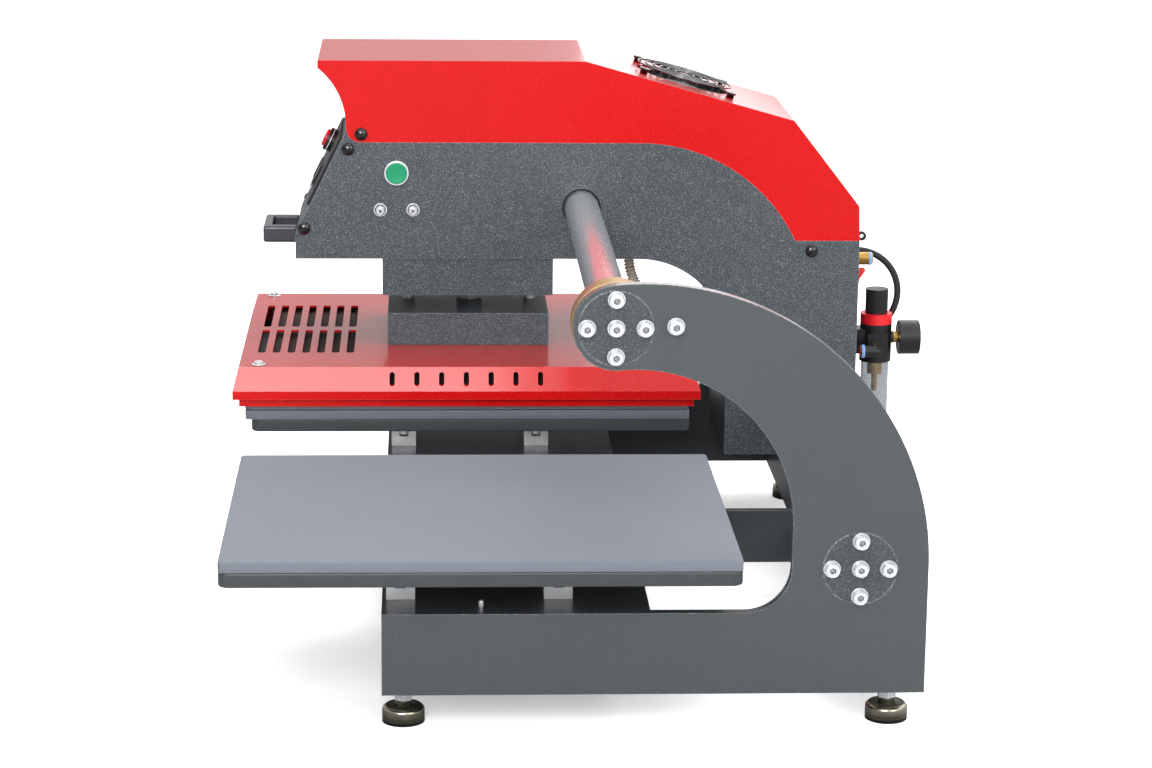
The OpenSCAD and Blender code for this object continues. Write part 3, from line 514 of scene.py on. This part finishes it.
def soften(name, width, angle=14, segments=2):
    """Rounds the edges of a CAD node with modifiers; its own mesh is left as it is."""
    obj = nodes[name]
    if "custom_normal" in obj.data.attributes:
        obj.data.attributes.remove(obj.data.attributes["custom_normal"])
    obj.data.polygons.foreach_set("use_smooth", [True] * len(obj.data.polygons))
    weld = obj.modifiers.new("weld", "WELD")
    weld.merge_threshold = 0.004 * MM
    flat = obj.modifiers.new("flat", "DECIMATE")
    flat.decimate_type = "DISSOLVE"
    flat.angle_limit = math.radians(0.6)
    if width:
        bevel = obj.modifiers.new("bevel", "BEVEL")
        bevel.width = width
        bevel.segments = segments
        bevel.limit_method = "ANGLE"
        bevel.angle_limit = math.radians(angle)
        bevel.use_clamp_overlap = True
        bevel.miter_outer = "MITER_ARC"
        bevel.harden_normals = False
    normals = obj.modifiers.new("normals", "WEIGHTED_NORMAL")
    normals.keep_sharp = False
    normals.weight = 80


def centre(name):
    low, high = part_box(name)
    return (low + high) / 2


def size(name):
    low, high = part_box(name)
    return high - low


# ---- CAD nodes: finish and edge rounding ----

# Bevel widths in millimetres
EDGE_WIDTH = {
    "frame_plate_right": 0.7, "frame_plate_left": 0.7, "front_cross_beam": 1.6, "rear_cross_beam": 1.4,
    "upper_guide_shaft": 0.5, "lower_guide_shaft": 0.5, "shaft_flanges": 0.9, "shaft_end_discs": 0.4,
    "shaft_screws": 0.35, "platen_rails": 0.5, "foot_nuts": 0.6, "platen_right": 2.2, "platen_left": 2.2,
    "head_side_right": 0.5, "head_side_left": 0.5, "head_belly": 0.5, "front_panel": 0.5, "controller": 0.8,
    "head_cover": 0.9, "rear_panel": 0.5, "side_bolts": 0.3, "bow_handle": 2.6, "fan_frame": 0.6,
    "air_cylinder": 1.0, "regulator_body": 1.0, "regulator_knob": 0.7, "gauge_body": 1.4, "air_fittings": 0.5,
    "inlet_elbow": 1.0, "press_bracket": 4.5, "piston_rod": 0.5, "press_fasteners": 0.5, "guide_rods": 0.5,
    "heat_cover": 1.1, "heat_plate": 1.2, "rocker_switch": 1.0, "end_buffers": 1.0, "foot_pads": 0.5,
    "linear_bearings": 0.5, "insulation": 2.0, "regulator_bowl": 0.8,
}


def finish_cad_nodes():
    """Gives every CAD node its slot's finish, smooth shading and rounded edges."""
    for row in frame["record"]["subparts"]:
        obj = nodes[row["node"]]
        obj.data.materials.clear()
        obj.data.materials.append(finishes[row["material_slot"]])
        soften(row["node"], EDGE_WIDTH.get(row["node"], 0.0) * MM)
    nodes["bow_handle"].data.materials[0] = handle_plastic
    nodes["fan_guard"].data.materials[0] = black_chrome
    nodes["shaft_end_discs"].data.materials[0] = disc_paint
    nodes["linear_bearings"].data.materials[0] = finishes["black_rubber"]
    nodes["guide_rods"].data.materials[0] = satin_steel
    nodes["regulator_body"].data.materials[0] = regulator_nylon
    for side in ("right", "left"):
        data = nodes["platen_" + side].data
        data.materials.append(finishes["aluminium"])
        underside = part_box("platen_rails")[1].z - 0.1 * MM
        for face in data.polygons:
            if face.center.z < underside:
                face.material_index = 1


# ---- Pads ----

def pads():
    """Silicone foam pads on both platens."""
    for side, seed in (("right", 3), ("left", 5)):
        node = "pad_" + side
        low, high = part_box(node)
        obj = soft_slab("silicone_" + node, low, high, 5 * MM, 1.4 * MM, 0.5 * MM, 0.25 * MM, seed)
        place(obj, side + "_platen", "silicone_pad", node)


# ---- Controls ----

def start_buttons():
    """Green caps with a dished face, and the bright rings round them."""
    for side, sign in (("right", 1), ("left", -1)):
        node = "start_button_" + side
        low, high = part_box(node)
        face = high.x if sign > 0 else low.x
        radius = (high.y - low.y) / 2
        profile = [(0, -26 * MM), (7.6 * MM, -26 * MM), (7.6 * MM, -2.4 * MM), (radius, -2.4 * MM)]
        profile += rounded(radius, 0, 0.7 * MM)
        profile += [(radius * 0.8, -0.25 * MM), (radius * 0.55, -0.6 * MM), (radius * 0.25, -0.8 * MM),
                    (0, -0.85 * MM)]
        obj = lathe(node + "_cap", profile, (face, centre(node).y, centre(node).z), (sign, 0, 0))
        place(obj, node, "green_button", node)
    low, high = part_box("button_bezels")
    radius = (high.z - low.z) / 2
    for side, sign, face in (("right", 1, high.x), ("left", -1, low.x)):
        inner = radius - 1.6 * MM
        profile = [(inner, -5.8 * MM), (radius, -5.8 * MM), (radius, -1.2 * MM)]
        profile += rounded(radius, 0, 1.0 * MM, 4) + [(inner + 0.3 * MM, 0), (inner, -0.4 * MM)]
        origin = (face, (low.y + high.y) / 2, (low.z + high.z) / 2)
        ring = lathe("start_bezel_" + side, profile, origin, (sign, 0, 0), closed=True)
        replaced = ("button_bezels",) if side == "right" else ()
        place(ring, "head", "bright_ring", *replaced)


def panel_axes():
    """The front panel's outward normal, from the stop button's stroke, and the direction up its face."""
    outward = -Vector(joints["stop_button_press"]["axis"]).normalized()
    return outward, outward.cross(X_AXIS)


def along_panel(node):
    """The middle of a CAD node's outer face on the front panel, and the node's length along the normal."""
    outward, up = panel_axes()
    points = [v.co for v in nodes[node].data.vertices]
    reach = max(p.dot(outward) for p in points)
    foot = min(p.dot(outward) for p in points)
    face = [p for p in points if p.dot(outward) > reach - 0.01 * MM]
    across = [p.x for p in face]
    along = [p.dot(up) for p in face]
    middle = X_AXIS * (min(across) + max(across)) / 2 + up * (min(along) + max(along)) / 2
    return middle + outward * reach, reach - foot


def stop_button():
    """Red mushroom cap, its black collar and a thin bright ring round the collar."""
    outward, _ = panel_axes()
    middle, length = along_panel("stop_button")
    radius = size("stop_button").x / 2
    profile = [(0, -length), (4.8 * MM, -length), (4.8 * MM, -6 * MM), (radius - 0.4 * MM, -6 * MM),
               (radius, -5.4 * MM)]
    profile += rounded(radius, 0, 2.2 * MM, 7) + [(radius * 0.4, -0.15 * MM), (0, -0.3 * MM)]
    cap = lathe("stop_button_cap", profile, middle, outward)
    place(cap, "stop_button", "red_button", "stop_button")
    middle, length = along_panel("stop_button_collar")
    radius = size("stop_button_collar").x / 2
    bore = 10.6 * MM
    profile = [(11 * MM, -length), (11 * MM, -9.4 * MM), (radius, -9 * MM), (radius, -7.4 * MM),
               (radius - 0.5 * MM, -7.0 * MM), (radius - 0.5 * MM, -6.2 * MM), (radius, -5.8 * MM)]
    profile += rounded(radius, 0, 1.1 * MM, 4) + [(bore + 0.5 * MM, 0), (bore, -0.5 * MM), (bore, -7.9 * MM),
                                                   (5.3 * MM, -8 * MM), (5.3 * MM, -length)]
    collar = lathe("stop_collar", profile, middle, outward, closed=True)
    place(collar, "head", "black_plastic", "stop_button_collar")
    trim = lathe("stop_trim_ring", [(radius + 0.35 * MM, -4.6 * MM), (radius + 0.35 * MM, -3.8 * MM),
                                    (radius - 0.2 * MM, -3.6 * MM), (radius - 0.2 * MM, -4.8 * MM)],
                 middle, outward, closed=True)
    place(trim, "head", "bright_ring")


def keys():
    """Two round keys with slightly dished faces."""
    outward, _ = panel_axes()
    for node in ("key_up", "key_down"):
        middle, length = along_panel(node)
        radius = size(node).x / 2
        profile = [(0, -length), (radius, -length), (radius, -1.2 * MM)]
        profile += rounded(radius, 0, 1.0 * MM, 5) + [(radius * 0.4, -0.25 * MM), (0, -0.4 * MM)]
        obj = lathe(node + "_cap", profile, middle, outward, 48)
        place(obj, node, "grey_key", node)


def display():
    """Dark display window of the controller, above its keys."""
    outward, up = panel_axes()
    thickness = 0.9 * MM
    above_keys = 18 * MM
    key_face, _ = along_panel("key_up")
    foot = Vector((centre("controller").x, key_face.y, key_face.z)) + up * above_keys - outward * thickness
    turn = Matrix((X_AXIS, up, outward)).transposed().to_4x4()
    mesh = bmesh.new()
    outline = [Vector((x, y, 0)) for x, y in round_outline(29.6 * MM, 8.6 * MM, 1.5 * MM, 4)]
    lower = [mesh.verts.new(p) for p in outline]
    upper = [mesh.verts.new(p + Vector((0, 0, thickness))) for p in outline]
    for k in range(len(outline)):
        following = (k + 1) % len(outline)
        mesh.faces.new((lower[k], lower[following], upper[following], upper[k]))
    mesh.faces.new(lower)
    mesh.faces.new(upper)
    mesh.transform(Matrix.Translation(foot) @ turn)
    window = add_object("display_window", mesh, smooth=False)
    place(window, "head", "black_plastic", material=display_dark)


def islands(name):
    """Corners of the box round each separate solid of a CAD node."""
    mesh = bmesh.new()
    mesh.from_mesh(nodes[name].data)
    bmesh.ops.remove_doubles(mesh, verts=mesh.verts, dist=0.002 * MM)
    waiting = set(mesh.verts)
    found = []
    while waiting:
        stack = [waiting.pop()]
        group = []
        while stack:
            vert = stack.pop()
            group.append(vert.co.copy())
            for edge in vert.link_edges:
                other = edge.other_vert(vert)
                if other in waiting:
                    waiting.remove(other)
                    stack.append(other)
        low = Vector([min(p[i] for p in group) for i in range(3)])
        high = Vector([max(p[i] for p in group) for i in range(3)])
        found.append((low, high))
    mesh.free()
    return sorted(found, key=lambda box: tuple(round(v, 5) for v in box[0]))


def dome_screws():
    """Glossy black button heads on the head's side plates."""
    middle_x = centre("head_cover").x
    half_width = size("head_cover").x / 2
    for number, (low, high) in enumerate(islands("cover_screws")):
        right = low.x > middle_x
        seat = middle_x + half_width if right else middle_x - half_width
        rise = high.x - seat if right else seat - low.x
        depth = seat - low.x if right else high.x - seat
        radius = (high.z - low.z) / 2
        profile = [(0, -depth), (2.7 * MM, -depth), (2.7 * MM, 0), (radius * 0.99, 0.02 * MM),
                   (radius, 0.5 * MM)]
        for i in range(1, 11):
            a = math.pi / 2 * i / 10
            profile.append((radius * math.cos(a), 0.5 * MM + (rise - 0.5 * MM) * math.sin(a)))
        profile[-1] = (0, rise)
        origin = (seat, (low.y + high.y) / 2, (low.z + high.z) / 2)
        obj = lathe("dome_screw_%d" % number, profile, origin, X_AXIS if right else -X_AXIS, 40)
        replaced = ("cover_screws",) if number == 0 else ()
        place(obj, "head", "black_screw", *replaced)


# ---- Rear services ----

def gauge():
    """Dial, scale marks, lens and brass union of the pressure gauge."""
    low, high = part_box("gauge_body")
    x, z = (low.x + high.x) / 2, (low.z + high.z) / 2
    radius = (high.x - low.x) / 2
    floor_y = high.y - 3 * MM
    profile = [(0, 0), (radius - 2.2 * MM, 0), (radius - 2.2 * MM, 0.12 * MM), (0, 0.12 * MM)]
    dial = lathe("gauge_dial", profile, (x, floor_y, z), Y_AXIS)
    place(dial, "head", "black_plastic", material=dial_white)
    mesh = bmesh.new()
    for i in range(31):
        angle = math.radians(-135 + 270 * i / 30)
        major = i % 5 == 0
        length = (3.2 if major else 1.8) * MM
        width = (0.5 if major else 0.25) * MM
        bar = bmesh.ops.create_cube(mesh, size=1.0)["verts"]
        scale = Matrix.Diagonal((width, 0.08 * MM, length, 1))
        lift = Matrix.Translation((0, 0.16 * MM, radius - 4.2 * MM - length / 2))
        spin = Matrix.Rotation(angle, 4, "Y")
        bmesh.ops.transform(mesh, matrix=Matrix.Translation((x, floor_y, z)) @ spin @ lift @ scale, verts=bar)
    marks = add_object("gauge_scale", mesh, smooth=False)
    place(marks, "head", "black_plastic", material=dial_black)
    profile = [(2.5 * MM, 0), (6.2 * MM, 0), (6.8 * MM, 0.6 * MM), (6.8 * MM, 5.6 * MM), (6.2 * MM, 6.2 * MM),
               (2.5 * MM, 6.2 * MM)]
    union = lathe("gauge_union", profile, (x, low.y - 6.6 * MM, z), Y_AXIS, 12, angle=20)
    place(union, "head", "brass")
    profile = [(0, 0), (radius - 2.1 * MM, 0), (radius - 2.1 * MM, 0.5 * MM), (0, 0.7 * MM)]
    lens = lathe("gauge_lens", profile, (x, high.y - 0.8 * MM, z), Y_AXIS)
    place(lens, "head", "clear_bowl", material=lens_glass)


def collets():
    """Release rings of the push-in fittings."""
    mouth_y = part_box("inlet_elbow")[0].y
    elbow_x, _, elbow_z = joints["inlet_elbow_swivel"]["pos_m"]
    barrel_x = elbow_x + 4 * MM
    profile = [(7.02 * MM, 0), (7.7 * MM, 0.2 * MM), (7.9 * MM, 0.6 * MM), (7.9 * MM, 3.4 * MM),
               (7.5 * MM, 3.8 * MM), (7.02 * MM, 3.8 * MM)]
    blue = lathe("inlet_collar", profile, (barrel_x, mouth_y + 1.2 * MM, elbow_z), Y_AXIS, closed=True)
    place(blue, "inlet_elbow", "black_plastic", material=blue_collet)
    profile = [(4.0 * MM, 0.2 * MM), (6.4 * MM, 0.2 * MM), (6.4 * MM, 1.0 * MM), (5.6 * MM, 1.4 * MM),
               (4.0 * MM, 1.4 * MM)]
    red = lathe("inlet_release_ring", profile, (barrel_x, mouth_y - 0.9 * MM, elbow_z), Y_AXIS, closed=True)
    place(red, "inlet_elbow", "red_button")
    profile = [(4.0 * MM, 0), (7.4 * MM, 0), (7.7 * MM, 0.4 * MM), (7.7 * MM, 3.2 * MM), (7.3 * MM, 3.6 * MM),
               (4.0 * MM, 3.6 * MM)]
    outlet_x = centre("head_cover").x + 50 * MM
    outlet_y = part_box("rear_panel")[1].y + 16.2 * MM
    outlet = lathe("outlet_collar", profile, (outlet_x, outlet_y, 336 * MM), Y_AXIS, closed=True)
    place(outlet, "head", "black_plastic", material=blue_collet)


def conduit():
    """Spiral-wound conduit swept in one fixed shape, with an eased bend down to its foot."""
    low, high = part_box("conduit")
    radius = (high.x - low.x) / 2
    x = (low.x + high.x) / 2
    top_y, foot_y = low.y + radius, high.y - radius
    bend_z = low.z + 86.2 * MM
    steps = 460
    pitch = 4.0 * MM
    path = []
    for i in range(steps + 1):
        z = high.z - (high.z - low.z) * i / steps
        share = min(1.0, max(0.0, (bend_z - z) / (bend_z - low.z)))
        eased = share * share * (3 - 2 * share)
        path.append((x, top_y + (foot_y - top_y) * eased, z))

    def ridge(distance):
        return radius * (0.86 + 0.14 * math.sin(2 * math.pi * distance / pitch))
    obj = tube("spiral_conduit", path, ridge, 24)
    obj.data.materials.append(finishes["bearing_steel"])
    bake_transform(obj)
    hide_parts("conduit")
    profile = [(radius + 0.5 * MM, 0), (radius + 4 * MM, 0), (radius + 4 * MM, 3 * MM),
               (radius + 2.6 * MM, 5 * MM), (radius + 0.5 * MM, 5 * MM)]
    gland = lathe("conduit_gland", profile, (x, foot_y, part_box("heat_cover")[1].z), Z_AXIS, closed=True)
    place(gland, "press", "zinc_screw")


def cable_clip():
    """Small clamp ring on the back edge of the head cover."""
    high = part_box("head_cover")[1]
    x = high.x - 12 * MM
    centre_y = high.y + 3.6 * MM
    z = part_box("rear_panel")[1].z + 4 * MM
    profile = [(2.4 * MM, -2.5 * MM), (4.9 * MM, -2.5 * MM), (5.4 * MM, -2 * MM), (5.4 * MM, 2 * MM),
               (4.9 * MM, 2.5 * MM), (2.4 * MM, 2.5 * MM)]
    ring = lathe("rear_clip", profile, (x, centre_y, z), X_AXIS, 40, closed=True)
    place(ring, "head", "black_rubber")


def bench_studs():
    """Bright locating studs on the front cross-beam, under the outer part of each platen."""
    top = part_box("front_cross_beam")[1].z
    y = centre("platen_right").y + 1 * MM
    profile = [(0, 0), (2.6 * MM, 0), (2.6 * MM, 6 * MM), (2.0 * MM, 7 * MM), (0, 7 * MM)]
    for side, x in (("right", 427 * MM), ("left", -427 * MM)):
        stud = lathe("locating_stud_" + side, profile, (x, y, top), Z_AXIS, 32)
        place(stud, "frame", "zinc_screw")


def rail_clamp():
    """Small clamp screw on the rear face of the left front rail, near its inner end."""
    rail_length = 206 * MM
    rail_width = 28.5 * MM
    low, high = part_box("platen_rails")
    profile = [(0, 0), (1.9 * MM, 0), (1.9 * MM, 3.0 * MM), (1.4 * MM, 3.6 * MM), (0, 3.6 * MM)]
    spot = (low.x + rail_length - 4 * MM, low.y + rail_width - 0.1 * MM, high.z - 9 * MM)
    clamp = lathe("rail_clamp_screw", profile, spot, Y_AXIS, 24)
    place(clamp, "frame", "black_screw")


# ---- Camera, light and floor ----

LAMPS = (
    # name, place, width, watts
    ("key", (3.1, -0.7, 1.7), 1.3, 70),
    ("fill", (3.0, 2.2, 1.8), 1.4, 30),
    ("top", (-0.3, 0.2, 3.2), 2.2, 60),
    ("back", (-2.8, 1.1, 1.6), 1.6, 14),
    ("ridge", (-1.25, 0.38, 0.95), 0.8, 2.6),
)
MIRRORED_LAMPS = ("key", "fill", "ridge")


def floor():
    """Pale paper that stays white to the eye but looks darker in mirrors, as black cards would make it."""
    mesh = bmesh.new()
    bmesh.ops.create_grid(mesh, x_segments=1, y_segments=1, size=30)
    sheet = add_object("floor", mesh, smooth=False)
    s = Shader("floor_paper")
    paper = s.mix(s.noise(4 * MM, 3), (0.93, 0.93, 0.93, 1), (0.96, 0.96, 0.96, 1))
    ray = s.add("LightPath")
    tone = s.mix(ray.outputs["Is Glossy Ray"], paper, (0.22, 0.22, 0.23, 1))
    glow = s.math("MULTIPLY", ray.outputs["Is Camera Ray"], 0.45)
    sheet.data.materials.append(s.finish(tone, 0.85, Emission_Color=(1, 1, 1, 1), Emission_Strength=glow))


def sky():
    """Grey surroundings: dim near the horizon, brighter overhead, behind the machine and on its far side."""
    world = bpy.data.worlds.new("studio")
    bpy.context.scene.world = world
    world.use_nodes = True
    graph = NodeGraph(world.node_tree)
    direction = graph.add("SeparateXYZ", Vector=graph.add("TexCoord").outputs["Generated"]).outputs
    tone = graph.ramp(direction["Z"], (0.0, 0.9), (0.05, 0.35), (0.35, 0.55), (0.6, 1.25), (1.0, 1.5))
    rear = graph.math("MULTIPLY_ADD", direction["Y"], 0.5, 0.9)
    far_side = graph.math("MINIMUM", direction["X"], 0.0)
    strength = graph.math("MULTIPLY_ADD", far_side, -0.5, rear)
    background = graph.tree.nodes["Background"]
    graph.put(background.inputs["Color"], tone)
    graph.put(background.inputs["Strength"], strength)


def lamps():
    """Soft boxes aimed at the middle of the machine."""
    target = Vector((0, 0, 0.3))
    for name, spot, width, watts in LAMPS:
        lamp = bpy.data.lights.new(name, "AREA")
        lamp.shape = "SQUARE"
        lamp.size = width
        lamp.energy = watts
        obj = bpy.data.objects.new(name, lamp)
        obj.location = spot
        obj.rotation_euler = (target - Vector(spot)).to_track_quat("-Z", "Y").to_euler()
        obj.visible_camera = False
        obj.visible_glossy = name in MIRRORED_LAMPS
        bpy.context.scene.collection.objects.link(obj)


def camera():
    """Long-lens view square on to the machine's right-hand side, from a little above."""
    lens = bpy.data.cameras.new("camera")
    lens.sensor_width = 36
    lens.lens = 95.66
    lens.clip_end = 100
    obj = bpy.data.objects.new("camera", lens)
    pitch, yaw, roll = (math.radians(a) for a in (13.414, 2.975, 0.639))
    forward = Vector((-math.cos(pitch) * math.cos(yaw), math.cos(pitch) * math.sin(yaw), -math.sin(pitch)))
    right = forward.cross(Z_AXIS).normalized()
    up = right.cross(forward)
    side = right * math.cos(roll) + up * math.sin(roll)
    top = -right * math.sin(roll) + up * math.cos(roll)
    axes = Matrix((side, top, -forward)).transposed().to_4x4()
    obj.matrix_world = Matrix.Translation((3.2846, -0.2221, 1.0277)) @ axes
    bpy.context.scene.collection.objects.link(obj)
    bpy.context.scene.camera = obj


finish_cad_nodes()
pads()
start_buttons()
stop_button()
keys()
display()
dome_screws()
gauge()
collets()
conduit()
cable_clip()
bench_studs()
rail_clamp()
floor()
sky()
lamps()
bpy.context.scene.view_settings.view_transform = "Standard"
camera()

bpy.context.view_layer.update()
